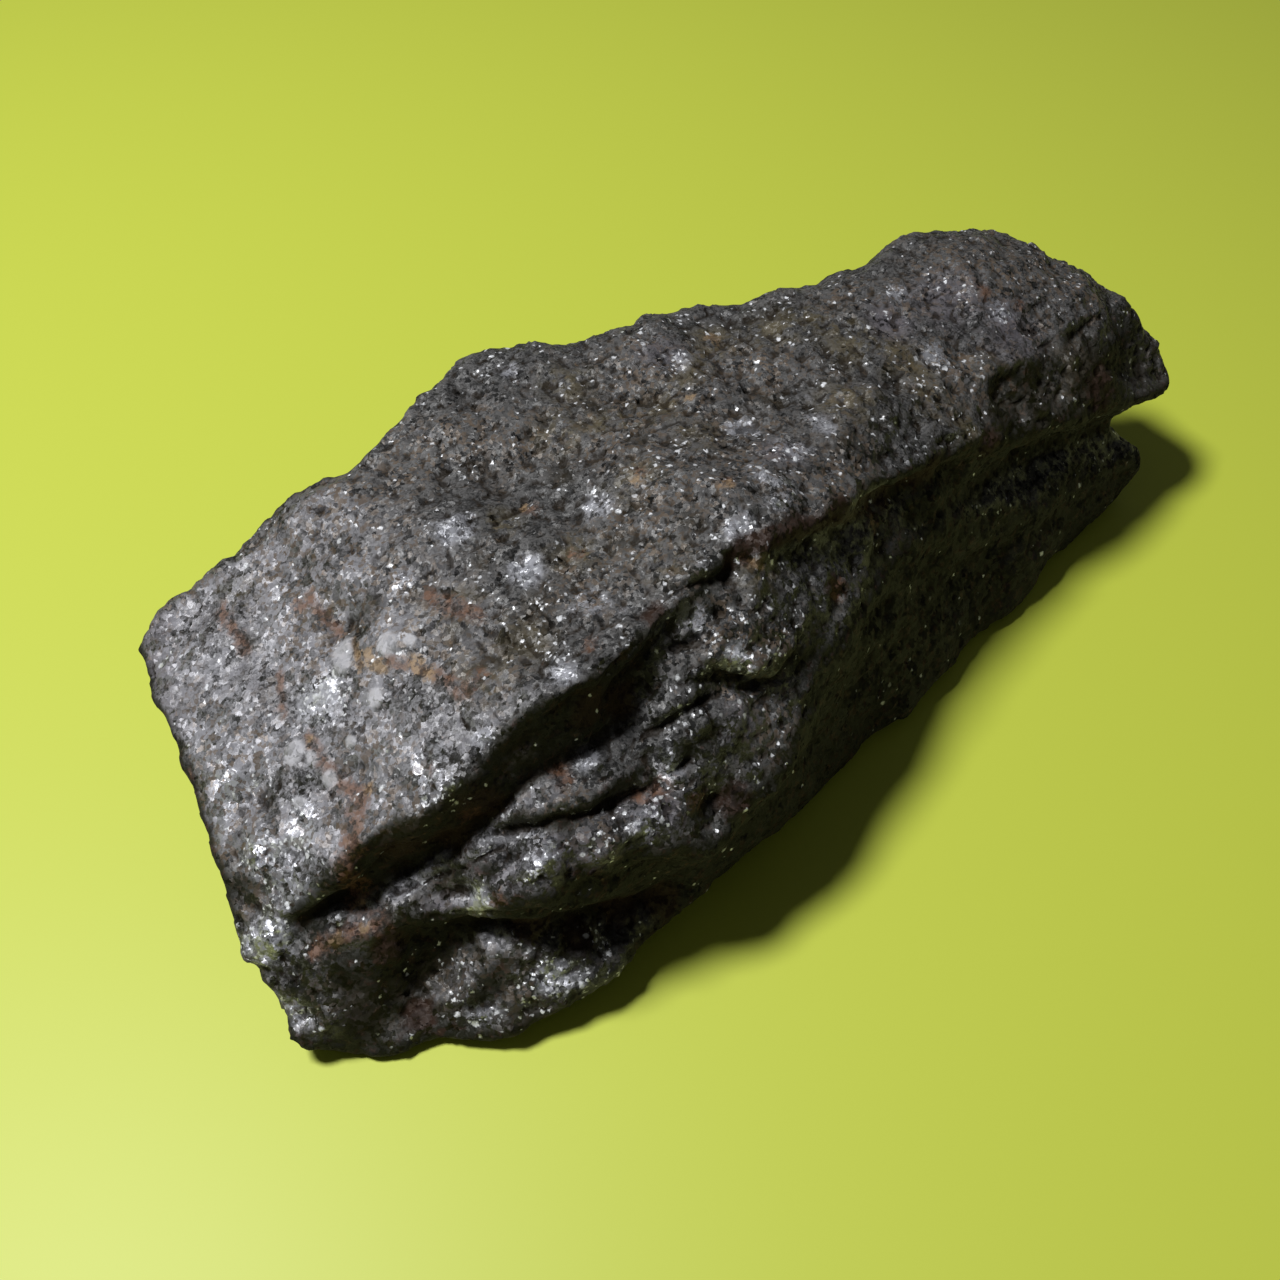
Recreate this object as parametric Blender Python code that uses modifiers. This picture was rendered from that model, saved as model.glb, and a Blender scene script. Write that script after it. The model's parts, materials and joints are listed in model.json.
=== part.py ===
"""A meteorite fragment: one block of dark, granular, metallic stone lying on its worn underside.

The stone is lofted along its length through named rails, rounded by subdivision, turned into an even
skin, worked over with cracks, hollows, lumps and grain, and settled on flats worn at the floor.
Frame: +X along the length, +Z up, the origin under the middle of the stone's box.
"""

from math import floor

import bmesh
import bpy
import numpy as np
from mathutils import Vector, noise

MM = 0.001

STATION_GAP = 3.0 * MM  # distance between cross-sections of the cage
SKIN_VOXEL = 0.8 * MM
SOLE_WEAR = 0.15 * MM  # shaved off the underside before and after thinning, which leaves true flats
TRIANGLES = 9400

LUMP_SIZE, LUMP_HEIGHT = 12.0 * MM, 0.8 * MM
KNOB_SIZE, KNOB_HEIGHT = 4.0 * MM, 0.6 * MM
KNOB_SHIFT = Vector((7.0, 3.0, 5.0))  # keeps the knobs' pattern apart from the lumps'
LAYER_LENGTH, LAYER_THICKNESS = 16.0 * MM, 5.0 * MM
LEDGE_STEPS, LEDGE_RISER, LEDGE_HEIGHT = 4, 0.25, 2.6 * MM
LEDGE_FADE = 0.75  # how much of the ledges' height is lost on level ground
PIT_SPACING, PIT_RADIUS, PIT_DEPTH = 6.5 * MM, 0.30, 0.9 * MM

STONE_COLOUR = (0.045, 0.045, 0.050, 1.0)
STONE_ROUGHNESS = 0.55
STONE_METALLIC = 0.35

# Each rail runs along the block from its near end (-X) to its far end (+X), in mm. The rails go
# round the section: up the back, over the top, down the front and back under the stone.
RAILS = {
    "back_low": (0.2, [(-45, 17, 7), (-30, 17, 7), (-12, 20, 7), (18, 15, 7), (35, 14, 7), (44, 9, 8)]),
    "back_mid": (0.2, [
        (-48, 19, 13), (-38, 18, 16), (-26, 18, 17), (-13, 23, 17), (-5, 20, 17), (20, 15, 17),
        (36, 15, 17), (46, 9, 15),
    ]),
    "back_edge": (0.75, [
        (-50.5, 19, 17), (-41, 20, 22.5), (-35, 19, 26), (-28, 17, 28), (-23, 20, 28.5), (-14.5, 24, 29),
        (-8.5, 22, 29), (-7, 19, 29), (6, 18.5, 29), (12, 16, 29), (25, 14, 28), (35, 15.5, 27.5),
        (43, 12.5, 25), (46.5, 8.5, 23),
    ]),
    "top_back": (0.0, [
        (-52, 11, 16.5), (-40, 10, 22.5), (-34, 10, 26), (-27, 10, 28), (-10, 10, 29.5), (20, 8, 29),
        (35, 8, 28), (43, 7.5, 26.5), (52, 6, 19),
    ]),
    "top_mid": (0.0, [
        (-52.5, 4.5, 15.5), (-46, 2.5, 18.5), (-35, 1, 25.5), (-28, 1, 28), (-10, 2, 29.5), (5, 2, 29.5),
        (20, 2, 28), (34, 2, 27), (43, 2.5, 25.5), (54, 3, 16.5),
    ]),
    "top_front": (0.55, [
        (-54.5, -3.5, 13), (-47, -5, 17.5), (-36, -7, 24.5), (-29, -7, 27.5), (-14, -5, 29.5),
        (0, -4, 29), (15, -3.5, 27.5), (29, -4, 26), (41, -2, 25), (53, -1, 16),
    ]),
    "ridge": (0.8, [
        (-55.5, -9, 9.5), (-51, -10, 12.5), (-45, -11.5, 18.5), (-38.5, -14.5, 23), (-33.5, -13, 26),
        (-29, -14, 28.5), (-23, -14.5, 29), (-16, -11.5, 29.5), (-9, -11, 30), (3, -11, 28),
        (12, -9, 25.5), (25.5, -8, 21), (36, -8, 17.5), (47, -7.5, 14.5), (53.5, -6, 13),
    ]),
    "hollow": (0.3, [
        (-55.5, -11, 7), (-49, -10.5, 10.5), (-42.5, -10.5, 12.5), (-33.5, -12, 16.5), (-24, -13.5, 21.5),
        (-18, -14.5, 26), (-12.5, -13.5, 27.5), (-5, -12.5, 26.5), (8, -10, 24), (32, -5.5, 16),
        (45.5, -5, 11),
    ]),
    "lip": (0.3, [
        (-55.5, -12.5, 5.5), (-50, -12, 11), (-43, -13.5, 13), (-38, -15, 17.5), (-30.5, -16, 21),
        (-24, -17, 22), (-19, -17.5, 22.5), (-12, -17, 23.5), (-6, -15.5, 23), (0, -13.5, 22),
        (7, -11, 21.5), (22, -9, 15), (46, -6.5, 9),
    ]),
    "nose": (0.45, [
        (-55, -14, 3.5), (-48.5, -16, 7), (-43, -15.5, 11), (-34.5, -20.5, 15.5), (-28, -23, 14.5),
        (-20, -24, 13.5), (-12.5, -22.5, 15), (-8, -19.5, 19.5), (0, -16, 19.5), (6.5, -12.5, 20),
        (14, -12, 14), (49, -7.5, 6),
    ]),
    "under_nose": (0.3, [
        (-54, -15, 1.5), (-49, -17.5, 4), (-44.5, -16, 6.5), (-41.5, -17, 8.5), (-34, -20, 11),
        (-28, -21.5, 9), (-20, -22, 9), (-4, -18, 8), (20, -12.5, 6), (50, -8, 4),
    ]),
    "toe": (0.5, [
        (-52.5, -15.5, 0.5), (-50.5, -17.5, 0.5), (-45, -22.5, 1), (-38.5, -24.5, 2.5), (-33, -25, 3.5),
        (-20, -22.5, 4), (0, -19, 2.5), (13, -15.5, 2), (37, -10, 1), (49, -7.5, 2),
    ]),
    "foot": (0.3, [
        (-51, -13, 0), (-41, -18, 0), (-33, -18.5, 0), (-10, -18, 0), (15, -13, 0), (47.5, -6, 0),
    ]),
    "sole": (0.0, [(-46.5, 0, 0.5), (0, -1, 0.5), (44, 1, 0.5)]),
    "heel": (0.3, [(-43, 13, 0), (-12, 15.5, 0), (20, 11, 0), (41.5, 7, 0)]),
}

END_CREASE = 0.75
END_INSET = 0.5  # how far towards the cap's middle its inner ring lies
CAGE_ROUNDING = 2
NEAR_CAP = Vector((-49.0, 3.0, 8.0)) * MM  # middle of the broken face at each end
FAR_CAP = Vector((48.0, 0.5, 10.0)) * MM

# Features worked into the skin: how deep (a negative depth builds up) and how wide in mm, and the
# line. Each point of a line is a rail, the share of the way from it to the next rail, and X in mm.
STROKES = {
    "notch in the ridge": (1.2, 1.1, [
        ("top_front", 0.8, -8.5), ("ridge", 0.0, -9.5), ("ridge", 0.5, -10),
    ]),
    "ledge under the top": (1.2, 1.1, [
        ("ridge", 0.55, -10), ("ridge", 0.45, -16), ("ridge", 0.6, -20), ("ridge", 0.6, -23),
    ]),
    "lower ledge": (0.8, 0.9, [("ridge", 0.85, -12), ("ridge", 0.9, -16), ("hollow", 0.1, -20)]),
    "crack down the slope": (0.8, 0.9, [("lip", 0.25, -11), ("lip", 0.0, -17), ("lip", 0.1, -23)]),
    "short crack above it": (0.7, 0.8, [
        ("lip", 0.2, -11.5), ("hollow", 0.8, -14.5), ("hollow", 0.5, -16.5),
    ]),
    "crack beside the crease": (0.4, 0.9, [("lip", 0.2, -4), ("lip", 0.5, -6), ("lip", 0.4, -12)]),
    "long crack in the lobe": (0.8, 0.7, [
        ("lip", 0.05, -36), ("lip", 0.3, -31.5), ("lip", 0.35, -27.5), ("lip", 0.3, -24.5), ("lip", 0.25, -19.5),
    ]),
    "crack behind the lobe": (1.2, 1.0, [("lip", 0.4, -42), ("lip", 0.6, -39), ("lip", 0.5, -34.5)]),
    "step in the lobe": (1.0, 1.2, [("nose", 0.1, -33.5), ("nose", 0.1, -29), ("nose", 0.15, -24)]),
    "groove over the toe": (1.6, 1.7, [
        ("nose", 0.4, -43), ("under_nose", 0.0, -38), ("under_nose", 0.1, -34), ("under_nose", 0.25, -29),
        ("under_nose", 0.4, -24),
    ]),
    "valley beside the toe": (1.3, 1.5, [
        ("under_nose", 0.9, -46.5), ("under_nose", 0.4, -45.5), ("under_nose", 0.2, -43),
        ("under_nose", 0.1, -41),
    ]),
    "slot under the far ridge": (1.4, 1.3, [
        ("ridge", 0.7, -6.5), ("ridge", 0.7, -1), ("ridge", 0.8, 18),
    ]),
    "scoop at the end of the slot": (0.5, 3.6, [("hollow", 0.25, -3), ("hollow", 0.4, 2)]),
    "swell in the hollow": (-1.2, 2.2, [("ridge", 0.65, -36), ("ridge", 0.7, -27)]),
    "pitted ground": (0.9, 3.2, [("back_edge", 0.7, 5), ("top_back", 0.8, 4), ("top_mid", 0.2, 0)]),
    "dip across the top": (0.8, 4.0, [
        ("top_front", 0.3, -20), ("top_mid", 0.0, -17), ("back_edge", 0.9, -21),
    ]),
    "swell behind the ridge": (-0.9, 4.5, [("top_front", 0.25, -6), ("top_front", 0.0, 12)]),
    "swell at the far end": (-0.9, 4.5, [("top_back", 0.0, 30), ("top_back", 0.0, 38)]),
    "seam low on the far flank": (1.1, 1.6, [("nose", 0.3, 4), ("nose", 0.35, 18), ("nose", 0.6, 46)]),
    "seam high on the far flank": (0.9, 1.4, [
        ("hollow", 0.75, 12), ("hollow", 0.6, 26), ("hollow", 0.0, 42),
    ]),
    "seam in the back": (1.2, 1.8, [("back_low", 0.9, -44), ("back_low", 0.6, -10), ("back_low", 0.5, 10)]),
    "upper seam in the back": (1.0, 1.5, [
        ("back_mid", 0.35, -16), ("back_mid", 0.4, 2), ("back_mid", 0.3, 36),
    ]),
    "bite in the back": (1.8, 5.0, [("back_low", 0.2, 2), ("back_low", 0.6, 12)]),
}
END_SCOOP_DEPTH, END_SCOOP_WIDTH = 1.5 * MM, 5.0 * MM  # one shallow scoop in each broken face


def point_at(points, x):
    """The point of a rail at this X in mm, or its nearer end."""
    if x <= points[0][0]:
        return Vector(points[0]) * MM
    for (x0, y0, z0), (x1, y1, z1) in zip(points, points[1:]):
        if x <= x1:
            t = (x - x0) / (x1 - x0)
            return Vector((x, y0 + t * (y1 - y0), z0 + t * (z1 - z0))) * MM
    return Vector(points[-1]) * MM


def point_on_rail(points, share):
    """The point of a rail at this share of its own reach along X."""
    return point_at(points, points[0][0] + share * (points[-1][0] - points[0][0]))


def build_cage():
    """A closed cage: one ring per station through all the rails, with a fan over each broken end."""
    length = (FAR_CAP - NEAR_CAP).length
    stations = round(length / STATION_GAP)
    bm = bmesh.new()
    crease = bm.edges.layers.float.new("crease_edge")
    rings = [
        [bm.verts.new(point_on_rail(points, station / stations)) for _, points in RAILS.values()]
        for station in range(stations + 1)
    ]
    count = len(RAILS)
    for ring, after in zip(rings, rings[1:]):
        for i in range(count):
            j = (i + 1) % count
            bm.faces.new((ring[i], ring[j], after[j], after[i]))
    for ring, middle in ((rings[0], NEAR_CAP), (rings[-1], FAR_CAP)):
        tip = bm.verts.new(middle)
        inner = [bm.verts.new(vert.co.lerp(middle, END_INSET)) for vert in ring]
        for i in range(count):
            j = (i + 1) % count
            bm.faces.new((ring[i], ring[j], inner[j], inner[i]))
            bm.faces.new((inner[i], inner[j], tip))
    for ring, after in zip(rings, rings[1:]):
        for (sharpness, _), here, there in zip(RAILS.values(), ring, after):
            bm.edges.get((here, there))[crease] = sharpness
    for ring in (rings[0], rings[-1]):
        for i in range(count):
            bm.edges.get((ring[i - 1], ring[i]))[crease] = END_CREASE
    bmesh.ops.recalc_face_normals(bm, faces=bm.faces)
    mesh = bpy.data.meshes.new("stone_cage")
    bm.to_mesh(mesh)
    bm.free()
    return mesh


def baked(source, name):
    """A new object from the source as its modifiers leave it. The source is removed."""
    graph = bpy.context.evaluated_depsgraph_get()
    mesh = bpy.data.meshes.new_from_object(source.evaluated_get(graph))
    made = bpy.data.objects.new(name, mesh)
    source.users_collection[0].objects.link(made)
    bpy.data.objects.remove(source)
    return made


def skin_of_cage(collection):
    """The rounded cage as one even skin."""
    cage = bpy.data.objects.new("stone_cage", build_cage())
    collection.objects.link(cage)
    rounding = cage.modifiers.new("Rounding", "SUBSURF")
    rounding.levels = CAGE_ROUNDING
    rounding.render_levels = CAGE_ROUNDING
    even = cage.modifiers.new("Even skin", "REMESH")
    even.mode = "VOXEL"
    even.voxel_size = SKIN_VOXEL
    return baked(cage, "stone_skin")


def distance_to_line(points, line):
    """How far each point is from a line of straight runs, or from its one point."""
    nearest = np.linalg.norm(points - line[0], axis=1)
    for start, end in zip(line, line[1:]):
        run = end - start
        share = np.clip((points - start) @ run / (run @ run), 0, 1)
        nearest = np.minimum(nearest, np.linalg.norm(points - start - share[:, None] * run, axis=1))
    return nearest


def line_of(places):
    """A stroke's line as points between the rails that it names."""
    names = list(RAILS)
    line = []
    for name, share, x in places:
        following = names[names.index(name) + 1]
        line.append(point_at(RAILS[name][1], x).lerp(point_at(RAILS[following][1], x), share))
    return line


def carve(mesh, line, depth, width):
    """Lays the line on the skin and carves it as a soft-shouldered furrow along the skin's normals."""
    points = np.array([vert.co for vert in mesh.vertices])
    normals = np.array([vert.normal for vert in mesh.vertices])
    on_skin = np.array([points[np.linalg.norm(points - place, axis=1).argmin()] for place in line])
    reach = distance_to_line(points, on_skin) / width
    points -= normals * (np.exp(-reach**2) * depth)[:, None]
    mesh.vertices.foreach_set("co", points.ravel())
    mesh.update()


def cut_strokes(mesh):
    for depth, width, places in STROKES.values():
        carve(mesh, line_of(places), depth * MM, width * MM)
    for middle in (NEAR_CAP, FAR_CAP):
        carve(mesh, [middle], END_SCOOP_DEPTH, END_SCOOP_WIDTH)


def ledges(place):
    """Broken edges of the stone's layers: a height that climbs in steps, with a short riser to each."""
    layer = Vector((place.x / LAYER_LENGTH, place.y / LAYER_THICKNESS, place.z / LAYER_THICKNESS))
    climb = LEDGE_STEPS * (0.5 + 0.5 * noise.noise(layer))
    tread = climb - floor(climb)
    riser = min(1.0, tread / LEDGE_RISER)
    return (floor(climb) + riser * riser * (3 - 2 * riser)) / LEDGE_STEPS - 0.5


def relief(place, normal):
    """The natural relief at one point: lumps, knobs, ledges on the flanks, and pits."""
    height = LUMP_HEIGHT * noise.noise(place / LUMP_SIZE)
    height += KNOB_HEIGHT * noise.noise(place / KNOB_SIZE + KNOB_SHIFT)
    flank = 1.0 - LEDGE_FADE * abs(normal.z)
    height += LEDGE_HEIGHT * flank * ledges(place)
    nearest = noise.voronoi(place / PIT_SPACING)[0][0]
    height -= PIT_DEPTH * max(0.0, 1.0 - nearest / PIT_RADIUS)
    return height


def roughen(mesh):
    moved = [vert.co + vert.normal * relief(vert.co, vert.normal) for vert in mesh.vertices]
    for vert, place in zip(mesh.vertices, moved):
        vert.co = place
    mesh.update()


def settle(mesh):
    """Centres the stone over the origin and wears its lowest parts flat at the floor."""
    points = np.array([vert.co for vert in mesh.vertices])
    low, high = points.min(axis=0), points.max(axis=0)
    points -= [(low[0] + high[0]) / 2, (low[1] + high[1]) / 2, SOLE_WEAR]
    points[:, 2] = np.maximum(points[:, 2], 0.0)
    mesh.vertices.foreach_set("co", points.ravel())
    mesh.update()


def stone_material():
    material = bpy.data.materials.new("granular_stone")
    material.use_nodes = True
    shader = material.node_tree.nodes["Principled BSDF"]
    shader.inputs["Base Color"].default_value = STONE_COLOUR
    shader.inputs["Roughness"].default_value = STONE_ROUGHNESS
    shader.inputs["Metallic"].default_value = STONE_METALLIC
    return material


def main():
    for leftover in list(bpy.data.objects):
        bpy.data.objects.remove(leftover)
    collection = bpy.data.collections.new("meteorite")
    bpy.context.scene.collection.children.link(collection)

    skin = skin_of_cage(collection)
    cut_strokes(skin.data)
    roughen(skin.data)
    settle(skin.data)
    thinning = skin.modifiers.new("Thinning", "DECIMATE")
    thinning.ratio = TRIANGLES / (2 * len(skin.data.polygons))

    stone = baked(skin, "stone")
    settle(stone.data)
    stone.data.materials.append(stone_material())
    stone.data.shade_smooth()


main()
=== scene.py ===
import json
import math

import bpy
import numpy as np
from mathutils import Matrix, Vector, noise
from mathutils.bvhtree import BVHTree

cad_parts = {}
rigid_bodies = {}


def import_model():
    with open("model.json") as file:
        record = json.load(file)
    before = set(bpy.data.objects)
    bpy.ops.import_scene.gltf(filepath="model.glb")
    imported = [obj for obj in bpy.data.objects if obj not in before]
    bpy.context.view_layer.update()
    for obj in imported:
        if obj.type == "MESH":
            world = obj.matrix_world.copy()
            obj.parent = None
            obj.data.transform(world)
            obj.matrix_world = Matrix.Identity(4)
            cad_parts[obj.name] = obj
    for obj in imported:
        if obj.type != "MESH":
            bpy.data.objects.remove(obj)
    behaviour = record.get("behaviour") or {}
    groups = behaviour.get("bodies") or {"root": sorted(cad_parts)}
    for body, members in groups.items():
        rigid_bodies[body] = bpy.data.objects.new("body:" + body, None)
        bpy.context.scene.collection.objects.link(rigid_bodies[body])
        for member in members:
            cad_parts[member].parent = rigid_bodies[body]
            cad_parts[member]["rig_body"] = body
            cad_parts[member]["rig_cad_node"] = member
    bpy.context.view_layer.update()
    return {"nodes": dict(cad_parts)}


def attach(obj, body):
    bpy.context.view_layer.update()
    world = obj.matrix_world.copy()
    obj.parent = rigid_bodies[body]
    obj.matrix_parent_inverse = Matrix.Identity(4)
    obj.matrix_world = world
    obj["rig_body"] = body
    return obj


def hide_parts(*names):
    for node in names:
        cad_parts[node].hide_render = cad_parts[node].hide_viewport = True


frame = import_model()

mm = 0.001
randomDraws = np.random.default_rng(7)

view = {
    "frameWidth": 1280,  # the view's side in pixels: a mark on the stone is a place in this view
    "lookAt": (-12.5, -3.0, 14.0),  # mm
    "azimuth": -35.0,
    "elevation": 50.0,
    "distance": 125.0,  # mm
    "lens": 40.0,  # mm, as are the next two
    "sensor": 36.0,
    "clipStart": 5.0,
}


def addCamera():
    azimuth, elevation = math.radians(view["azimuth"]), math.radians(view["elevation"])
    flat = math.cos(elevation)
    back = Vector((math.sin(azimuth) * flat, -math.cos(azimuth) * flat, math.sin(elevation)))
    place = (Vector(view["lookAt"]) + back * view["distance"]) * mm
    bpy.ops.object.camera_add(location=place, rotation=(math.pi / 2 - elevation, 0.0, azimuth))
    camera = bpy.context.object
    camera.name = "viewCamera"
    camera.data.lens = view["lens"]
    camera.data.sensor_width = view["sensor"]
    camera.data.clip_start = view["clipStart"] * mm
    bpy.context.scene.camera = camera
    bpy.context.view_layer.update()
    return camera


camera = addCamera()
bpy.context.scene.view_settings.view_transform = "Standard"


def feed(tree, socket, value):
    if hasattr(value, "is_output"):
        tree.links.new(value, socket)
    elif isinstance(value, tuple) and len(socket.default_value) > len(value):
        socket.default_value = (*value, 1.0)
    else:
        socket.default_value = value


def maths(tree, operation, first, second=0.0, third=0.0, clamp=False):
    node = tree.nodes.new("ShaderNodeMath")
    node.operation = operation
    node.use_clamp = clamp
    for socket, value in zip(node.inputs, (first, second, third)):
        feed(tree, socket, value)
    return node.outputs[0]


def vectors(tree, operation, first, second):
    node = tree.nodes.new("ShaderNodeVectorMath")
    node.operation = operation
    feed(tree, node.inputs[0], first)
    feed(tree, node.inputs["Scale"] if operation == "SCALE" else node.inputs[1], second)
    return node.outputs[0]


def mix(tree, share, first, second):
    node = tree.nodes.new("ShaderNodeMix")
    node.data_type = "RGBA"
    sockets = {socket.identifier: socket for socket in (*node.inputs, *node.outputs)}
    feed(tree, sockets["Factor_Float"], share)
    feed(tree, sockets["A_Color"], first)
    feed(tree, sockets["B_Color"], second)
    return sockets["Result_Color"]


def ease(tree, value, low, high):  # 0 under the low limit, 1 over the high one
    node = tree.nodes.new("ShaderNodeMapRange")
    node.interpolation_type = "SMOOTHSTEP"
    feed(tree, node.inputs["Value"], value)
    feed(tree, node.inputs["From Min"], low)
    feed(tree, node.inputs["From Max"], high)
    return node.outputs["Result"]


def attribute(tree, name):
    node = tree.nodes.new("ShaderNodeAttribute")
    node.attribute_name = name
    return node.outputs["Fac"]


def cells(tree, place, size):  # random colour of each grain, and how far its middle is
    node = tree.nodes.new("ShaderNodeTexVoronoi")
    feed(tree, node.inputs["Vector"], place)
    node.inputs["Scale"].default_value = 1 / (size * mm)
    return node.outputs["Color"], node.outputs["Distance"]


def cloud(tree, place, size, detail=2.0):
    node = tree.nodes.new("ShaderNodeTexNoise")
    feed(tree, node.inputs["Vector"], place)
    node.inputs["Scale"].default_value = 1 / (size * mm)
    node.inputs["Detail"].default_value = detail
    return node.outputs["Fac"], node.outputs["Color"]


def channels(tree, colour):
    node = tree.nodes.new("ShaderNodeSeparateColor")
    tree.links.new(colour, node.inputs["Color"])
    return node.outputs[0], node.outputs[1], node.outputs[2]


def minus(tree, value):  # what is left of 1
    return maths(tree, "SUBTRACT", 1.0, value)


def times(tree, first, second):
    return maths(tree, "MULTIPLY", first, second)


light = {
    "keyFrom": (-0.346, 0.243, 0.906),  # the way to the lamp
    "keyDistance": 0.45,  # metres
    "keyWidth": 0.100,  # metres
    "keyPower": 2.3,
    "floorSize": 3.0,  # metres
    "fillColour": (0.95, 0.95, 0.90),
    "fillStrength": 0.060,
    "floorColour": (0.50, 0.57, 0.060),  # as the camera sees it
    "floorBounce": (0.44, 0.47, 0.170),  # what the floor throws back at the stone
    "floorRoughness": 0.50,
}


def addLightAndFloor():
    way = Vector(light["keyFrom"]).normalized()
    bpy.ops.object.light_add(type="AREA", location=way * light["keyDistance"])
    lamp = bpy.context.object
    lamp.name = "keyLamp"
    lamp.rotation_euler = way.to_track_quat("Z", "Y").to_euler()
    lamp.data.shape = "DISK"
    lamp.data.size = light["keyWidth"]
    lamp.data.energy = light["keyPower"]

    world = bpy.data.worlds.new("softRoom")
    world.use_nodes = True
    room = world.node_tree.nodes["Background"]
    room.inputs["Color"].default_value = (*light["fillColour"], 1.0)
    room.inputs["Strength"].default_value = light["fillStrength"]
    bpy.context.scene.world = world

    bpy.ops.mesh.primitive_plane_add(size=light["floorSize"])
    floor = bpy.context.object
    floor.name = "floor"
    paper = bpy.data.materials.new("palePaper")
    paper.use_nodes = True
    tree = paper.node_tree
    shader = tree.nodes["Principled BSDF"]
    seen = tree.nodes.new("ShaderNodeLightPath").outputs["Is Camera Ray"]
    colour = mix(tree, seen, light["floorBounce"], light["floorColour"])
    tree.links.new(colour, shader.inputs["Base Color"])
    shader.inputs["Roughness"].default_value = light["floorRoughness"]
    floor.data.materials.append(paper)


addLightAndFloor()
print("view, lamp and floor are set")


skin = {  # sizes in mm
    "voxel": 0.41,
    "weld": 0.001,
    "smoothing": 5,
    "lastSmoothing": 1,
    "smoothFactor": 0.5,
    "soleHeight": 0.6,  # under this the relief fades, so that the stone rests as it should
    "calmRounds": 12,  # rounds of averaging that give the broad lie of the surface
    "turnRounds": 6,  # rounds that spread what counts as an edge
    "edgeTurn": (0.004, 0.035),  # how sharply the surface turns there, from none to full
    "edgeSmoothness": 0.92,  # less relief on sharp edges, so that the outline keeps its line
    "flankRise": (0.45, 0.80),  # the upward part of the normal, from a side to the top
    # the slope and near corner are lit, so the flank's painted shade and dulling are lifted there
    "slopeLift": 0.9,  # how far the slope and the near corner are no flank
    "cornerLift": 0.8,
    "fullFrom": 0.5,  # the value of a mark from which that holds in full
    # the way halfway between the lamp and the view: where the surface faces it, the near facet is
    # painted lighter as sheen
    "facetNormal": (-0.39, -0.15, 0.91),
    "facetMatch": (0.93, 0.98),  # how closely the surface has to face the same way
    "facetStart": (22, 40),  # how far towards the near end it lies
    "facetSmoothness": 0.72,
    # the height of the relief: its share everywhere, and what each kind of ground adds
    "roughness": (0.80, {"pitted": 0.40, "knobby": 0.45, "flank": -0.35}),
    "swells": (8.0, 0.75),  # size and height
    "swellOnFacet": 0.2,  # the share that is left there
    "knobs": [(3.0, 0.40), (1.3, 0.25)],
    "grains": [(2.1, 0.16, 0.08), (1.05, 0.24, 0.08)],  # size, slope of the flat face, rise
    "pits": (2.2, 0.36, 0.80),  # spacing, radius as a share of it, depth
    "pitShares": {"plain": 0.15, "pitted": 0.85, "knobby": 0.7, "flank": 0.2},  # of the depth
    "layers": [((13.0, 2.2, 1.8), 0.26), ((7.0, 0.85, 0.75), 0.22)],  # stretch and height
    "layersOnFlank": 0.25,  # the share of the layers' height there, and at the stone's ends
    "layersAtEnds": 0.15,
    "layerMiddle": 0.6,  # the part of a fold that neither rises nor sinks
    "jitter": 0.015,
    "bleb": 0.30,
    "dentFull": 0.08,  # depths at which a dent and a hollow count in full
    "hollowFull": 0.8,
    "dentRounds": 3,  # rounds of averaging that find them
    "hollowRounds": 60,
}

# Cracks and thin ledges: depth (built up where it is negative) and width in mm, then places
# in the view.
fineLines = {
    "slot by the notch": (0.45, 0.5, [(729, 553), (728, 568), (727, 581)]),
    "upper ledge under the top": (0.5, 0.4, [
        (722, 576), (693, 585), (665, 597), (648, 607), (636, 614),
    ]),
    "lower ledge under the top": (0.45, 0.4, [
        (643, 633), (612, 672), (600, 688), (576, 696), (552, 715),
    ]),
    "ledge on the slope": (0.4, 0.4, [(722, 614), (696, 643), (679, 648)]),
    "hair crack on the slope": (0.45, 0.45, [(739, 677), (703, 681), (684, 684)]),
    "sharp crack on the slope": (0.5, 0.4, [
        (717, 696), (681, 710), (660, 729), (641, 741), (624, 756),
    ]),
    "crack by the crease": (0.4, 0.4, [(794, 624), (799, 648), (770, 679), (737, 689)]),
    "main crack of the lobe": (0.6, 0.4, [
        (495, 832), (536, 827), (555, 820), (591, 815), (605, 805), (644, 793), (690, 760),
    ]),
    "rear crack of the lobe": (0.6, 0.4, [
        (396, 893), (440, 877), (461, 872), (483, 858), (502, 849),
    ]),
    "swell of the lobe": (-0.6, 1.3, [(480, 882), (540, 870), (600, 850), (645, 828)]),
    "line over the toe": (0.5, 0.5, [(432, 920), (488, 916), (540, 912), (572, 920), (640, 896)]),
    "groove of the near corner": (0.5, 0.6, [(304, 920), (352, 888), (396, 850)]),
    "lit edge in the hollow": (-0.35, 0.6, [
        (495, 830), (536, 789), (593, 765), (622, 748), (668, 745),
    ]),
    "shoulder of the far end": (-1.5, 2.1, [(1118, 314), (1134, 334), (1147, 349)]),
    "crease by the far facet": (0.35, 0.6, [
        (1102, 317), (1076, 334), (1027, 350), (1008, 382), (995, 402),
    ]),
}

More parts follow.
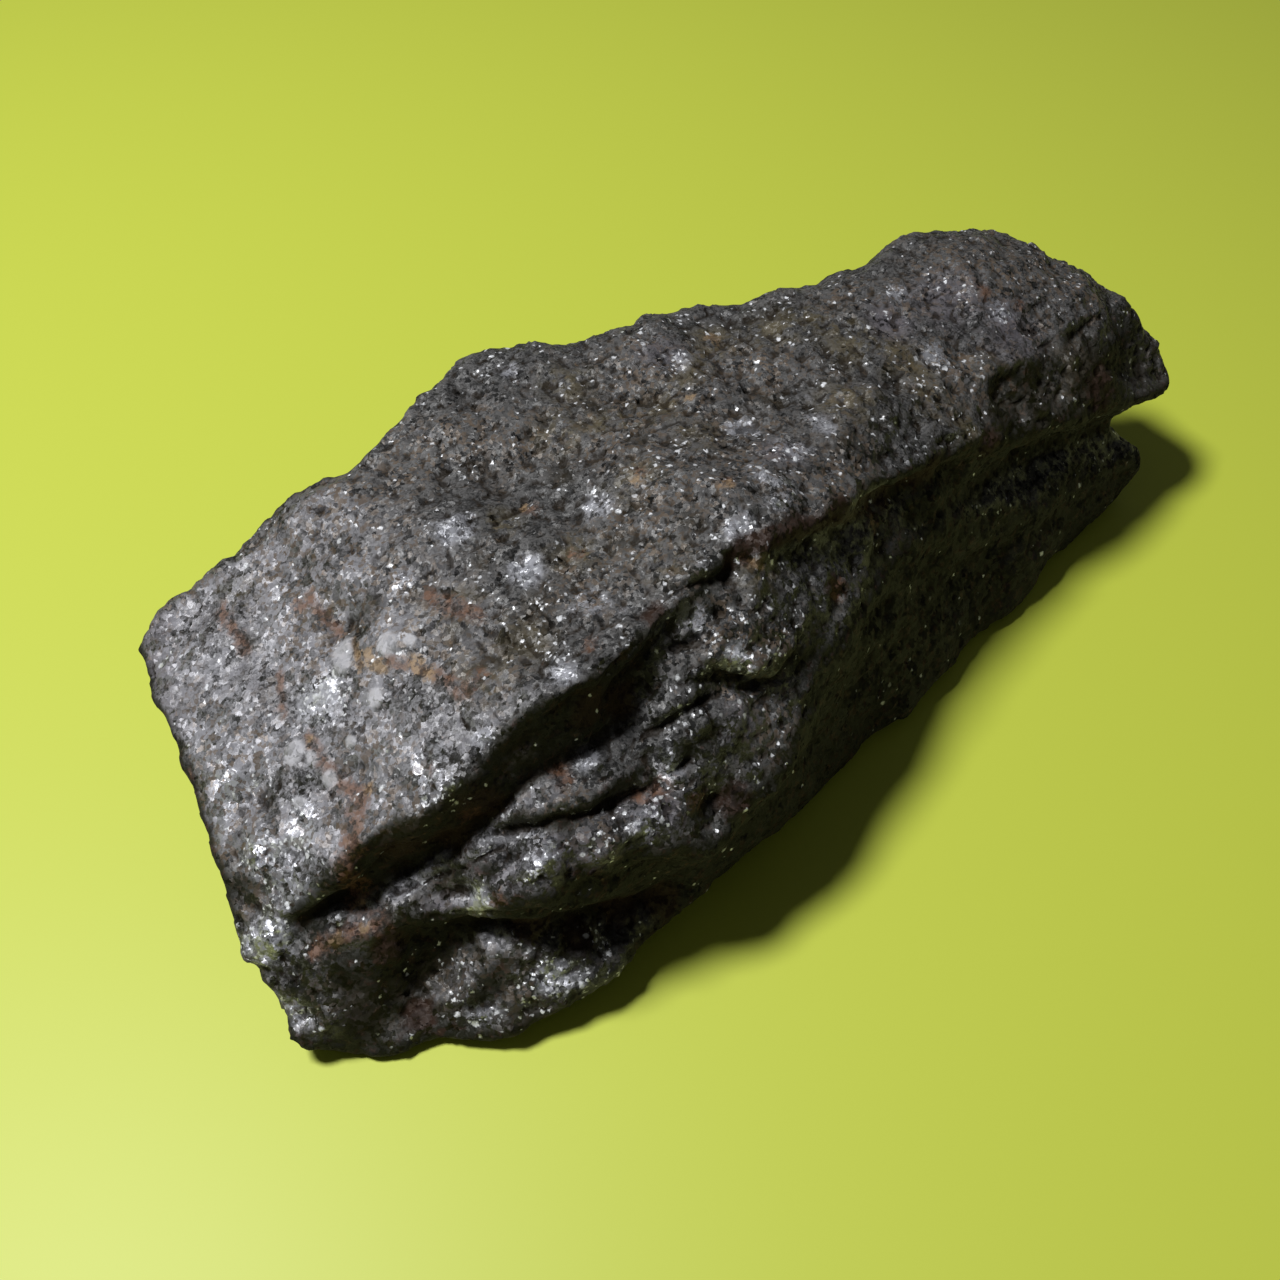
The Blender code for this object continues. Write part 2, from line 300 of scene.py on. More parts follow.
# Ground of its own kind: place in the view, and reach in mm.
ground = {
    "pitted": [(720, 380, 9.0), (640, 430, 5.0), (800, 350, 6.0)],
    "knobby": [(1090, 370, 7.0), (1140, 340, 6.0), (950, 440, 4.0), (1040, 400, 5.0)],
    # lit places where the painted shade of the flank is lifted
    "slope": [
        (700, 690, 5.0), (745, 640, 6.0), (690, 640, 5.0), (760, 700, 5.0), (820, 570, 6.0),
        (780, 600, 6.0), (850, 520, 5.0), (740, 740, 4.0), (650, 700, 3.0), (720, 780, 4.0),
        (870, 500, 3.0), (470, 898, 3.5), (540, 862, 3.5), (600, 842, 3.0), (650, 815, 3.0),
        (540, 985, 4.0), (600, 970, 3.5),
    ],
    "nearCorner": [
        (300, 990, 4.0), (270, 960, 4.0), (320, 1020, 3.0), (260, 930, 4.0), (250, 1000, 3.0),
    ],
    "layered": [
        (440, 905, 4.0), (500, 880, 5.0), (560, 850, 5.0), (620, 830, 5.0), (690, 780, 5.0),
        (620, 770, 4.0), (560, 970, 5.0), (480, 990, 5.0), (420, 990, 4.0), (540, 780, 4.0),
        (640, 900, 4.0), (460, 820, 4.0),
    ],
    "smooth": [
        (170, 700, 4.0), (240, 800, 6.0), (380, 740, 6.0), (300, 700, 5.0), (300, 900, 4.0),
    ],
}

# Stains and tones of the stone, and places of painted light: silver and sparkling for painted
# sheen and glints, dark and umber partly for painted shade.
stainsAndPaintedLight = {  # place in the view, and reach in mm
    "rust": [
        (300, 605, 1.5), (460, 690, 1.8), (480, 675, 1.5), (366, 850, 1.6), (360, 885, 2.2),
        (530, 505, 1.5), (640, 470, 1.3), (660, 790, 2.2), (500, 900, 1.4), (563, 775, 2.0),
        (470, 815, 1.8), (590, 640, 1.4), (835, 590, 2.0), (870, 520, 2.0), (728, 484, 1.4),
        (745, 560, 1.2), (640, 800, 1.5), (450, 604, 1.6), (576, 552, 1.4), (430, 770, 0.9),
        (700, 800, 2.0), (985, 290, 1.6), (1020, 305, 1.2),
    ],
    "ochre": [
        (368, 654, 1.3), (378, 664, 1.1), (416, 664, 1.5), (428, 674, 1.3), (311, 741, 0.9),
        (370, 788, 1.1), (690, 395, 1.0), (728, 487, 1.2), (757, 565, 1.3), (712, 338, 1.6),
        (636, 478, 1.2), (338, 938, 1.1), (364, 926, 0.9), (524, 502, 1.0),
    ],
    "pale": [
        (343, 650, 1.9), (388, 644, 1.6), (376, 697, 1.3), (295, 752, 1.7), (331, 779, 1.2),
        (352, 742, 0.9), (300, 802, 0.9), (344, 664, 1.5), (410, 640, 0.9), (312, 758, 1.0),
    ],
    "earth": [
        (716, 340, 4.0), (890, 350, 4.5), (568, 380, 4.0), (775, 328, 5.0), (850, 345, 5.0),
        (650, 410, 4.0), (700, 434, 3.5), (632, 480, 4.0), (850, 400, 5.0), (1000, 380, 5.0),
        (240, 600, 3.0), (320, 610, 3.0), (455, 610, 4.0), (480, 670, 4.5), (576, 550, 4.0),
        (1080, 380, 6.0), (500, 520, 3.0), (970, 430, 4.0), (660, 560, 3.5), (560, 430, 4.0),
        (520, 640, 4.0), (930, 400, 4.0), (760, 570, 3.5),
    ],
    # silvery metal grains, painted light as their sheen, with more painted glints
    "silver": [
        (320, 700, 4.0), (435, 775, 4.5), (262, 858, 3.6), (230, 790, 4.0), (300, 880, 4.4),
        (270, 950, 4.0), (250, 1000, 3.0), (598, 504, 2.6), (776, 490, 3.6), (740, 430, 2.4),
        (790, 448, 3.0), (458, 528, 3.0), (590, 605, 2.6), (676, 358, 2.6), (932, 350, 2.8),
        (512, 372, 2.2), (740, 528, 2.0), (526, 570, 2.6), (400, 580, 2.2), (560, 675, 2.0),
        (480, 740, 2.0), (585, 760, 2.0), (668, 770, 2.6), (540, 850, 3.0), (480, 900, 2.4),
        (740, 655, 2.4), (820, 420, 2.4), (1000, 310, 2.2), (900, 290, 2.0), (480, 1000, 3.0),
        (560, 980, 3.0), (640, 822, 2.4), (700, 620, 2.0), (290, 1010, 3.0), (306, 820, 3.4),
    ],
    # darker ground; in the hollow under the ridge and at the far end also painted shade
    "dark": [
        (1090, 380, 7.0), (1040, 405, 5.0), (1140, 370, 6.0), (1000, 430, 4.0), (940, 460, 3.0),
        (450, 985, 4.0), (400, 985, 3.0), (412, 828, 3.0), (450, 800, 4.0), (520, 750, 3.0),
        (620, 900, 4.0), (360, 1010, 4.0), (560, 940, 4.0), (655, 410, 1.6), (700, 434, 1.6),
        (640, 930, 4.0), (600, 690, 3.0), (520, 1020, 4.0), (482, 666, 2.6), (420, 592, 2.4),
        (515, 640, 2.4), (372, 606, 2.0), (540, 600, 2.2), (455, 630, 2.0), (620, 540, 2.2),
        (690, 520, 2.2), (560, 470, 2.2), (640, 440, 2.0), (770, 400, 2.4), (850, 440, 2.4),
        (590, 400, 2.2), (250, 640, 1.8), (480, 560, 1.8),
    ],
    "violet": [
        (950, 300, 6.0), (1010, 330, 6.0), (890, 320, 4.0), (660, 350, 3.5), (150, 680, 4.5),
        (160, 740, 4.0), (570, 860, 4.5), (660, 810, 3.5), (500, 880, 3.5), (620, 800, 3.0),
        (440, 910, 2.5), (130, 620, 3.0), (780, 450, 3.0), (740, 720, 3.0), (200, 830, 3.0),
    ],
    # reddish brown, placed on the shade band under the ridge and in the hollow: partly stain,
    # partly painted shade
    "umber": [
        (590, 710, 3.0), (620, 700, 2.5), (480, 805, 3.5), (450, 830, 3.0), (400, 850, 3.0),
        (800, 528, 2.5), (840, 512, 2.5), (880, 497, 2.5), (930, 470, 2.5), (990, 445, 2.5),
        (620, 905, 3.0), (580, 935, 2.5), (530, 925, 2.5), (735, 800, 2.5), (390, 945, 2.5),
        (420, 1015, 2.5), (655, 610, 2.0), (730, 560, 1.5), (660, 900, 3.0), (830, 590, 2.0),
        (1100, 390, 4.0),
    ],
    # where the painted glints are thickest
    "sparkling": [
        (480, 1000, 5.0), (550, 985, 5.0), (430, 960, 4.0), (610, 950, 4.0), (520, 856, 4.0),
        (600, 830, 3.5), (680, 800, 4.0), (740, 640, 5.0), (700, 690, 4.0), (300, 990, 5.0),
        (240, 940, 5.0), (780, 620, 4.0), (330, 700, 4.0), (435, 790, 4.0), (740, 440, 3.0),
        (780, 490, 2.5),
    ],
}

# Stains, and painted shade under the ridge, that run along a line: reach in mm, then places in
# the view.
stainAndShadeLines = {
    "rust": [
        (1.3, [(307, 596), (337, 632)]),
        (1.3, [(222, 608), (245, 652)]),
        (0.8, [(280, 674), (283, 716)]),
        (1.2, [(390, 660), (430, 672), (470, 690)]),
        (1.5, [(428, 594), (476, 614)]),
        (1.5, [(310, 738), (340, 784), (364, 794), (356, 830)]),
        (2.0, [(360, 800), (352, 836), (346, 872), (356, 904)]),
        (2.0, [(318, 948), (382, 918)]),
    ],
    "ochre": [(0.8, [(352, 640), (362, 668), (384, 670)])],
    "earth": [
        (3.2, [(815, 318), (862, 338), (920, 364)]),
        (2.6, [(716, 350), (660, 405), (600, 420)]),
    ],
    # along the shade band under the ridge: painted shade with a reddish brown
    "umber": [(1.6, [(740, 548), (800, 528), (860, 505), (930, 472)])],
}


def onlySelect(piece):
    bpy.ops.object.select_all(action="DESELECT")
    piece.select_set(True)
    bpy.context.view_layer.objects.active = piece


def applyModifier(piece, kind, **settings):
    onlySelect(piece)
    modifier = piece.modifiers.new(kind.lower(), kind)
    for name, value in settings.items():
        setattr(modifier, name, value)
    bpy.ops.object.modifier_apply(modifier=modifier.name)


def copyOfNode(node, name):
    onlySelect(node)
    bpy.ops.object.duplicate()
    copy = bpy.context.object
    copy.name = name
    copy.data.name = name
    copy.parent = None
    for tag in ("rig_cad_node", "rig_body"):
        del copy[tag]
    bpy.ops.object.mode_set(mode="EDIT")
    bpy.ops.mesh.select_all(action="SELECT")
    bpy.ops.mesh.remove_doubles(threshold=skin["weld"] * mm)
    bpy.ops.object.mode_set(mode="OBJECT")
    return copy


def pointsOf(piece):
    flat = np.empty(len(piece.data.vertices) * 3)
    piece.data.vertices.foreach_get("co", flat)
    return flat.reshape(-1, 3) / mm


def normalsOf(piece):
    flat = np.empty(len(piece.data.vertices) * 3)
    piece.data.vertices.foreach_get("normal", flat)
    return flat.reshape(-1, 3)


def movePoints(piece, points):
    piece.data.vertices.foreach_set("co", (points * mm).ravel())
    piece.data.update()


def easeBetween(values, low, high):
    share = np.clip((values - low) / (high - low), 0, 1)
    return share * share * (3 - 2 * share)


def edgesOf(piece):
    ends = np.empty(len(piece.data.edges) * 2, dtype=np.int64)
    piece.data.edges.foreach_get("vertices", ends)
    return ends.reshape(-1, 2)


def spread(values, edges, rounds):  # averages over the neighbours, again and again
    count = len(values)
    columns = values.reshape(count, -1).astype(float)
    joined = np.bincount(edges.ravel(), minlength=count)[:, None]
    for _ in range(rounds):
        total = np.stack([
            np.bincount(edges[:, 0], column[edges[:, 1]], count)
            + np.bincount(edges[:, 1], column[edges[:, 0]], count)
            for column in columns.T
        ], axis=1)
        columns = 0.5 * columns + 0.5 * total / joined
    return columns.reshape(values.shape)


def pointInView(x, y, tree):  # the point of the stone that shows at a place in the view, in mm
    half = view["frameWidth"] / 2
    reach = view["frameWidth"] * view["lens"] / view["sensor"]
    way = camera.matrix_world.to_quaternion() @ Vector((x - half, half - y, -reach))
    start = camera.matrix_world.translation / mm
    hit = tree.ray_cast(start, way.normalized())[0]
    if hit is None:
        hit = tree.find_nearest(start + way.normalized() * view["distance"])[0]
    return np.array(hit)


def distanceToLine(points, line):
    nearest = np.linalg.norm(points - line[0], axis=1)
    for start, end in zip(line, line[1:]):
        run = end - start
        share = np.clip((points - start) @ run / (run @ run), 0, 1)
        away = np.linalg.norm(points - start - share[:, None] * run, axis=1)
        nearest = np.minimum(nearest, away)
    return nearest


def patches(points, tree, marks):  # 1 at the middle of a mark, 0 at its reach
    value = np.zeros(len(points))
    for x, y, reach in marks:
        away = np.linalg.norm(points - pointInView(x, y, tree), axis=1)
        value = np.maximum(value, 1 - easeBetween(away / reach, 0, 1))
    return value


def streaks(points, tree, marks):  # the same for stains along a line
    value = np.zeros(len(points))
    for reach, places in marks:
        away = distanceToLine(points, [pointInView(x, y, tree) for x, y in places])
        value = np.maximum(value, 1 - easeBetween(away / reach, 0, 1))
    return value


def grainHeight(place, size, slope, rise):
    spot = place / size
    centre = noise.voronoi(spot)[1][0]
    own = noise.cell_vector(centre)
    lean = own - Vector((0.5, 0.5, 0.5))
    return size * slope * 2 * lean.dot(spot - centre) + rise * (own.x + own.y - 1)


def groundsOf(points, calm, tree):  # how far each point is of each kind of ground, from 0 to 1
    kinds = {name: patches(points, tree, marks) for name, marks in ground.items()}
    # the steep flank, whose colour below is painted shade
    flank = 1 - easeBetween(np.abs(calm[:, 2]), *skin["flankRise"])
    flank *= 1 - skin["slopeLift"] * easeBetween(kinds["slope"], 0, skin["fullFrom"])
    flank *= 1 - skin["cornerLift"] * easeBetween(kinds["nearCorner"], 0, skin["fullFrom"])
    # the facet faces halfway between lamp and view; its lighter colour below is painted sheen
    facet = easeBetween(calm @ Vector(skin["facetNormal"]).normalized(), *skin["facetMatch"])
    facet *= easeBetween(-points[:, 0], *skin["facetStart"])
    kinds["flank"] = flank
    kinds["facet"] = np.maximum(facet, kinds["smooth"])
    kinds["layered"] = np.maximum(kinds["layered"], skin["layersOnFlank"] * flank)
    return kinds


def roughnessOf(kinds, turn):
    plain, shares = skin["roughness"]
    rough = plain + sum(share * kinds[name] for name, share in shares.items())
    rough *= 1 - skin["facetSmoothness"] * kinds["facet"]
    return rough * (1 - skin["edgeSmoothness"] * easeBetween(turn, *skin["edgeTurn"]))


def lumpsOf(places, size):
    return np.array([noise.noise(place / size) for place in places])


def foldsOf(places, stretch):  # ridges that run along the stone
    along, across, up = stretch
    spots = [Vector((place.x / along, place.y / across, place.z / up)) for place in places]
    return np.array([1 - 2 * abs(noise.noise(spot)) for spot in spots])


def pitsOf(places, kinds):
    spacing, radius, depth = skin["pits"]
    share = skin["pitShares"]
    nearest = np.array([noise.voronoi(place / spacing)[0][0] for place in places])
    pitted = np.maximum(kinds["pitted"], share["knobby"] * kinds["knobby"])
    depth = depth * (share["plain"] + share["pitted"] * pitted)
    depth *= (1 - kinds["facet"]) * (1 - (1 - share["flank"]) * kinds["flank"])
    return depth * np.clip(1 - nearest / radius, 0, 1)


def reliefOf(points, calm, kinds, rough, tree):
    places = [Vector(point) for point in points]
    size, rise = skin["swells"]
    swell = (1 - (1 - skin["swellOnFacet"]) * kinds["facet"]) * (1 - kinds["flank"])
    height = rise * swell * lumpsOf(places, size)
    for size, rise in skin["knobs"]:
        height += rise * rough * lumpsOf(places, size)
    for size, slant, rise in skin["grains"]:
        height += rough * np.array([grainHeight(place, size, slant, rise) for place in places])
    height -= pitsOf(places, kinds)
    layered = kinds["layered"] * (1 - kinds["facet"])
    layered *= 1 - (1 - skin["layersAtEnds"]) * np.abs(calm[:, 0])
    for stretch, rise in skin["layers"]:
        height += rise * layered * (foldsOf(places, stretch) - skin["layerMiddle"])
    height += skin["bleb"] * patches(points, tree, stainsAndPaintedLight["pale"])
    for depth, width, marks in fineLines.values():
        line = [pointInView(x, y, tree) for x, y in marks]
        height -= depth * np.exp(-(distanceToLine(points, line) / width) ** 2)
    return height


def roughen(piece, tree):
    points = pointsOf(piece)
    edges = edgesOf(piece)
    normals = normalsOf(piece)
    calm = spread(normals, edges, skin["calmRounds"])
    calm /= np.linalg.norm(calm, axis=1)[:, None]
    turn = spread(1 - (normals * calm).sum(axis=1), edges, skin["turnRounds"])
    kinds = groundsOf(points, calm, tree)
    rough = roughnessOf(kinds, turn)
    height = reliefOf(points, calm, kinds, rough, tree)

    keep = easeBetween(points[:, 2], 0, skin["soleHeight"])
    points += calm * (height * keep)[:, None]
    points += randomDraws.normal(size=points.shape) * (skin["jitter"] * rough * keep)[:, None]
    points[:, 2] = np.maximum(points[:, 2], 0.0)
    movePoints(piece, points)
    return {name: kinds[name] for name in ("flank", "facet")}


def store(piece, name, values):
    layer = piece.data.attributes.new(name, "FLOAT", "POINT")
    layer.data.foreach_set("value", values)


stone = copyOfNode(frame["nodes"]["stone"], "stoneSkin")
applyModifier(stone, "SUBSURF", levels=1, render_levels=1)
applyModifier(stone, "REMESH", mode="VOXEL", voxel_size=skin["voxel"] * mm)
applyModifier(stone, "SMOOTH", factor=skin["smoothFactor"], iterations=skin["smoothing"])
smoothPoints = pointsOf(stone)
faces = [tuple(face.vertices) for face in stone.data.polygons]
stoneTree = BVHTree.FromPolygons(smoothPoints.tolist(), faces)
groundShares = roughen(stone, stoneTree)
applyModifier(stone, "SMOOTH", factor=skin["smoothFactor"], iterations=skin["lastSmoothing"])
stone.data.shade_smooth()
print("skin:", 2 * len(stone.data.polygons), "triangles")
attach(stone, "root")
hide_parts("stone")


def storeStainsAndPaintedLight(piece):
    points = pointsOf(piece)
    edges = edgesOf(piece)
    normals = normalsOf(piece)
    for name in ("dent", "hollow"):
        around = spread(points, edges, skin[name + "Rounds"])
        depth = ((around - points) * normals).sum(axis=1)
        store(piece, name, np.clip(depth / skin[name + "Full"], -1, 1))
    for name, values in groundShares.items():
        store(piece, name, values)
    for name, marks in stainsAndPaintedLight.items():
        lines = streaks(smoothPoints, stoneTree, stainAndShadeLines.get(name, []))
        store(piece, name, np.maximum(patches(smoothPoints, stoneTree, marks), lines))


storeStainsAndPaintedLight(stone)
print("stains are placed")


finish = {
    "matrix": (0.010, 0.010, 0.010),  # the dark ground between the grains
    "greyGrain": (0.128, 0.126, 0.126),
    # lighter grains of the near facet: painted sheen
    "paintedFacetSheen": (0.184, 0.179, 0.194),
    # metal grains, their lightness partly painted sheen
    "silverGrainAndSheen": (0.510, 0.520, 0.572),
    "brownGrain": (0.105, 0.076, 0.052),
    "earth": (0.088, 0.070, 0.032),
    "violet": (0.135, 0.125, 0.145),
    # painted shade on the steep sides
    "flank": (0.015, 0.015, 0.009),
    # darker in dents and hollows: painted shade
    "creviceShade": (0.014, 0.010, 0.006),
    # reddish brown, partly painted shade under the ridge
    "umber": (0.034, 0.018, 0.012),
    # darker ground, partly painted shade
    "dark": (0.024, 0.020, 0.013),
    "rust": (0.150, 0.078, 0.048),
    "rustGround": (0.028, 0.014, 0.009),
    "ochre": (0.270, 0.188, 0.108),
    "ochreGround": (0.085, 0.050, 0.026),
    "pale": (0.450, 0.450, 0.480),
    # colour of the painted glints
    "paintedGlintWhite": (0.86, 0.88, 0.92),
    "fineGrain": 0.36,  # sizes of the grains in mm
    "coarseGrain": 1.0,
    "bentBorders": (0.35, 0.55),  # size and reach in mm of what bends the grains' borders
    "tooth": (0.18, 0.05, 0.5),  # size and depth in mm, strength
    # painted glints: bright round spots that stand in for the lamp's reflection in metal grains
    "glints": [(0.45, 0.34, 0.8), (0.95, 0.26, 0.55)],  # spacing, radius as its share, how many
    "glintEdge": (0.5, 1.3),  # from full to none, as shares of the radius
    "glintPick": (0.99, 1.01),
    "glintGlow": (0.6, 0.5),  # the least, and what chance adds
    "fineLean": 0.40,  # how far the grains lean away from the surface
    "fineLeanOnFacet": 0.65,
    "coarseLean": 0.38,
    # silvery grains over the facet that faces halfway between lamp and view: painted sheen
    "silverOnFacet": 0.3,
    "silverGloss": 0.6,
    "glintMetal": 0.30,
    "stainDulling": 0.8,  # how far stains, and then the painted shade of sides, recesses and umber marks, take the glints away
    # where shade is painted, fewer glints and a lower specular level
    "dulling": {"flank": 0.84, "sunk": 0.95, "umberStainAndShade": 0.85},
    "strength": {  # how much of what lies under it each colour hides
        "brownGrain": 0.75,
        "earth": 0.70,
        "violet": 0.80,
        "creviceShade": 0.75,
        "dark": 0.72,
        "umber": 0.75,
        "rust": 0.85,
        "ochre": 0.85,
        "pale": 0.72,
    },
    "clouds": {  # soft noise: size in mm, and detail
        "dust": (0.22, 2.0),
        "speck": (0.7, 3.0),
        "cluster": (3.2, 3.0),
        "patch": (9.0, 4.0),
    },
    "sums": {  # weights of the named values; the first number is there always
        "light": (-0.81, {"fineTone": 0.46, "coarseTone": 0.42, "dust": 1.2, "patch": 0.5}),
        "ragged": (-0.93, {"speck": 1.5, "fineTone": 0.35}),
        # how strongly the painted side shade covers
        "sideShade": (0.65, {"patch": 0.5}),
        "glintCover": (0.12, {"silverPatch": 0.65}),
        "glintOnFacet": (1.0, {"facet": -0.45}),
        "glintSparkle": (0.0, {"cover": 1.0, "sparkling": 0.55}),
        "glintCluster": (0.12, {"clustered": 1.7}),
        "sheen": (0.08, {"silvery": 0.42}),
        "specular": (0.5, {"dull": -0.42}),
        "roughness": (0.48, {"bright": -0.18, "stained": 0.18, "flank": 0.20}),
    },
    "masks": {  # limits between which such a sum grows from none to full, and its weights
        "greyGrain": (0.14, 0.86, {"light": 1.0, "sparkling": -0.16}),
        "paintedFacetSheen": (0.25, 1.80, {"light": 1.4, "patch": 1.0}),
        "silverGrainAndSheen": (1.15, 2.00, {"light": 1.0, "cluster": 2.2}),
        "silverPatch": (1.25, 2.00, {"cluster": 1.1, "speck": 1.1, "silver": 1.0}),
        "brownHue": (0.60, 0.80, {"fineHue": 1.0}),
        "brownPatch": (0.40, 0.62, {"patch": 1.0}),
        "earthy": (0.85, 1.15, {"cluster": 1.0, "speck": 1.0}),
        "violetGrain": (0.50, 1.30, {"light": 1.0, "cluster": 1.0}),
        "sideShadeSpeck": (0.52, 0.66, {"speck": 1.0}),
        "dented": (0.10, 0.90, {"dent": 1.0}),
        "hollowed": (0.10, 0.80, {"hollow": 1.0}),
        # umber marks: partly stain, partly painted shade
        "umberStainAndShade": (0.45, 1.10, {"umber": 1.0, "speck": 0.8}),
        "rustStain": (0.25, 1.10, {"rust": 1.0, "ragged": 1.0}),
        "ochreStain": (0.25, 0.95, {"ochre": 1.0, "ragged": 1.0}),
        "paleBleb": (0.18, 0.62, {"pale": 1.0, "ragged": 0.35}),
        "stainGrain": (0.55, 1.35, {"light": 1.0, "speck": 1.0}),
        "clustered": (0.42, 0.62, {"cluster": 1.0}),
    },
}


def weighed(tree, values, always, weights):
    total = always
    for name, weight in weights.items():
        total = maths(tree, "MULTIPLY_ADD", values[name], weight, total)
    return total


def over(tree, colour, name, share):  # the named colour over what is there
    return mix(tree, times(tree, share, finish["strength"][name]), colour, finish[name])


# painted highlights: the glints are spots of colour
def glintsOf(tree, place, cover):  # bright round spots, more of them where the cover is higher
    total = None
    full, none = finish["glintEdge"]
    least, more = finish["glintGlow"]
    for spacing, radius, number in finish["glints"]:
        colour, away = cells(tree, place, spacing)
        pick, glow, _ = channels(tree, colour)
        chosen = maths(tree, "MULTIPLY_ADD", cover, number, pick)
        chosen = ease(tree, chosen, *finish["glintPick"])
        spot = minus(tree, ease(tree, away, full * radius, none * radius))
        glow = maths(tree, "MULTIPLY_ADD", glow, more, least)
        shine = times(tree, times(tree, chosen, spot), glow)
        total = shine if total is None else maths(tree, "MAXIMUM", total, shine)
    return total


def valuesOf(tree, place, fine, coarse):  # every value that the stone's colour is made from
    values = {name: attribute(tree, name) for name in (*stainsAndPaintedLight, *groundShares, "dent", "hollow")}
    values["fineTone"], _, values["fineHue"] = channels(tree, fine)
    values["coarseTone"] = channels(tree, coarse)[0]
    for name, (size, detail) in finish["clouds"].items():
        values[name] = cloud(tree, place, size, detail)[0]
    for name in ("light", "ragged"):
        values[name] = weighed(tree, values, *finish["sums"][name])
    for name, (low, high, weights) in finish["masks"].items():
        values[name] = ease(tree, weighed(tree, values, 0.0, weights), low, high)
    # the near facet gets silvery grains as painted sheen
    onFacet = times(tree, values["facet"], finish["silverOnFacet"])
    silver = maths(tree, "MAXIMUM", values["silverPatch"], onFacet)
    values["silvery"] = times(tree, silver, values["silverGrainAndSheen"])
    # dents and hollows, where shade is painted
    values["sunk"] = maths(tree, "ADD", values["dented"], values["hollowed"], clamp=True)
    stained = maths(tree, "ADD", values["rustStain"], values["ochreStain"])
    values["stained"] = maths(tree, "ADD", stained, values["paleBleb"], clamp=True)
    return values


def grainColour(tree, values):  # grey grains in a dark ground, brown in patches; silvery patches and the near facet are lighter: metal grains with painted sheen
    colour = mix(tree, values["greyGrain"], finish["matrix"], finish["greyGrain"])
    facet = times(tree, values["facet"], values["paintedFacetSheen"])
    colour = mix(tree, facet, colour, finish["paintedFacetSheen"])
    colour = mix(tree, values["silvery"], colour, finish["silverGrainAndSheen"])
    brown = times(tree, values["brownHue"], values["brownPatch"])
    colour = over(tree, colour, "brownGrain", brown)
    colour = over(tree, colour, "earth", times(tree, values["earth"], values["earthy"]))
    return over(tree, colour, "violet", times(tree, values["violet"], values["violetGrain"]))


def shadedColour(tree, colour, values):  # painted shade on steep sides and in dents and hollows, then the dark and umber marks, partly painted shade
    shade = weighed(tree, values, *finish["sums"]["sideShade"])
    shade = maths(tree, "MULTIPLY", values["flank"], shade, clamp=True)
    sideShadeSpeck = mix(tree, values["sideShadeSpeck"], finish["flank"], finish["umber"])
    colour = mix(tree, shade, colour, sideShadeSpeck)
    colour = over(tree, colour, "creviceShade", values["sunk"])
    colour = over(tree, colour, "dark", values["dark"])
    return over(tree, colour, "umber", values["umberStainAndShade"])


def stainedColour(tree, colour, values):  # stains and blebs with ragged borders
    for name in ("rust", "ochre"):
        stain = mix(tree, values["stainGrain"], finish[name + "Ground"], finish[name])
        share = times(tree, values[name + "Stain"], finish["strength"][name])
        colour = mix(tree, share, colour, stain)
    return over(tree, colour, "pale", values["paleBleb"])


def glintCoverOf(tree, values):  # the painted glints come in clusters, and few lie in the painted shade
    sums = finish["sums"]
    cover = weighed(tree, values, *sums["glintCover"])
    cover = times(tree, cover, weighed(tree, values, *sums["glintOnFacet"]))
    cover = weighed(tree, {**values, "cover": cover}, *sums["glintSparkle"])
    cover = times(tree, cover, weighed(tree, values, *sums["glintCluster"]))
    stained = times(tree, values["stained"], finish["stainDulling"])
    cover = times(tree, cover, minus(tree, stained))
    return times(tree, cover, minus(tree, values["dull"]))


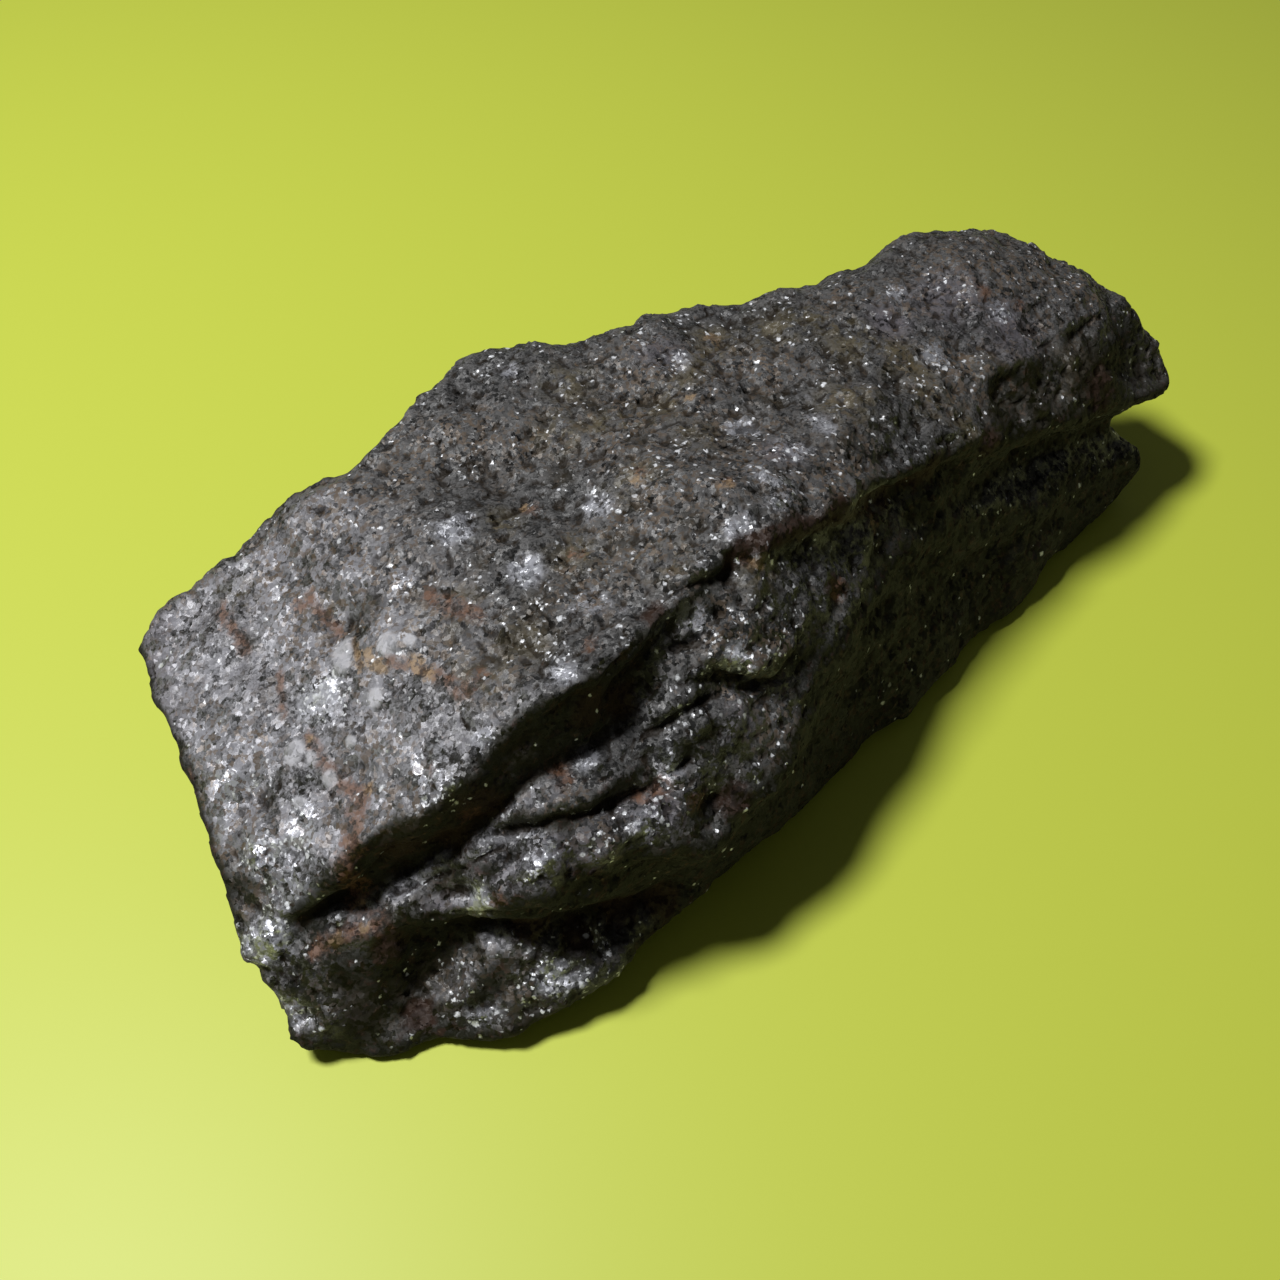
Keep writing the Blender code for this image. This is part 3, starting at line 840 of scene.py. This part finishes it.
def leaningNormal(tree, place, fine, coarse, facet):  # each grain's own lean, and a fine tooth
    onTop = 2 * finish["fineLean"]
    lessOnFacet = onTop * (finish["fineLeanOnFacet"] - 1)
    fineReach = maths(tree, "MULTIPLY_ADD", facet, lessOnFacet, onTop)
    leaning = tree.nodes.new("ShaderNodeNewGeometry").outputs["Normal"]
    for colour, reach in ((fine, fineReach), (coarse, 2 * finish["coarseLean"])):
        lean = vectors(tree, "SUBTRACT", colour, (0.5, 0.5, 0.5))
        leaning = vectors(tree, "ADD", leaning, vectors(tree, "SCALE", lean, reach))
    size, depth, sharpness = finish["tooth"]
    tooth = tree.nodes.new("ShaderNodeBump")
    tooth.inputs["Strength"].default_value = sharpness
    tooth.inputs["Distance"].default_value = depth * mm
    feed(tree, tooth.inputs["Height"], cloud(tree, place, size)[0])
    feed(tree, tooth.inputs["Normal"], vectors(tree, "NORMALIZE", leaning, (0.0, 0.0, 0.0)))
    return tooth.outputs["Normal"]


def stoneFinish():
    material = bpy.data.materials.new("granularStone")
    material.use_nodes = True
    tree = material.node_tree
    shader = tree.nodes["Principled BSDF"]
    place = tree.nodes.new("ShaderNodeTexCoord").outputs["Object"]

    # irregular grains: the cells' straight borders are pushed about first
    size, reach = finish["bentBorders"]
    push = vectors(tree, "SUBTRACT", cloud(tree, place, size)[1], (0.5, 0.5, 0.5))
    place = vectors(tree, "ADD", place, vectors(tree, "SCALE", push, reach * mm))
    fine = cells(tree, place, finish["fineGrain"])[0]
    coarse = cells(tree, place, finish["coarseGrain"])[0]
    values = valuesOf(tree, place, fine, coarse)

    dull = 0.0
    for name, share in finish["dulling"].items():
        dull = maths(tree, "MAXIMUM", dull, times(tree, values[name], share))
    values["dull"] = dull
    glint = glintsOf(tree, place, glintCoverOf(tree, values))
    gloss = times(tree, values["silvery"], finish["silverGloss"])
    values["bright"] = maths(tree, "MAXIMUM", glint, gloss)

    colour = grainColour(tree, values)
    colour = shadedColour(tree, colour, values)
    colour = stainedColour(tree, colour, values)
    # the painted glints over the stone's colour
    feed(tree, shader.inputs["Base Color"], mix(tree, glint, colour, finish["paintedGlintWhite"]))
    sums = finish["sums"]
    sheen = times(tree, weighed(tree, values, *sums["sheen"]), minus(tree, values["stained"]))
    metal = maths(tree, "MAXIMUM", times(tree, glint, finish["glintMetal"]), sheen)
    feed(tree, shader.inputs["Metallic"], metal)
    feed(tree, shader.inputs["Roughness"], weighed(tree, values, *sums["roughness"]))
    feed(tree, shader.inputs["Specular IOR Level"], weighed(tree, values, *sums["specular"]))
    feed(tree, shader.inputs["Normal"], leaningNormal(tree, place, fine, coarse, values["facet"]))
    return material


stone.data.materials.clear()
stone.data.materials.append(stoneFinish())
print("finish is on")
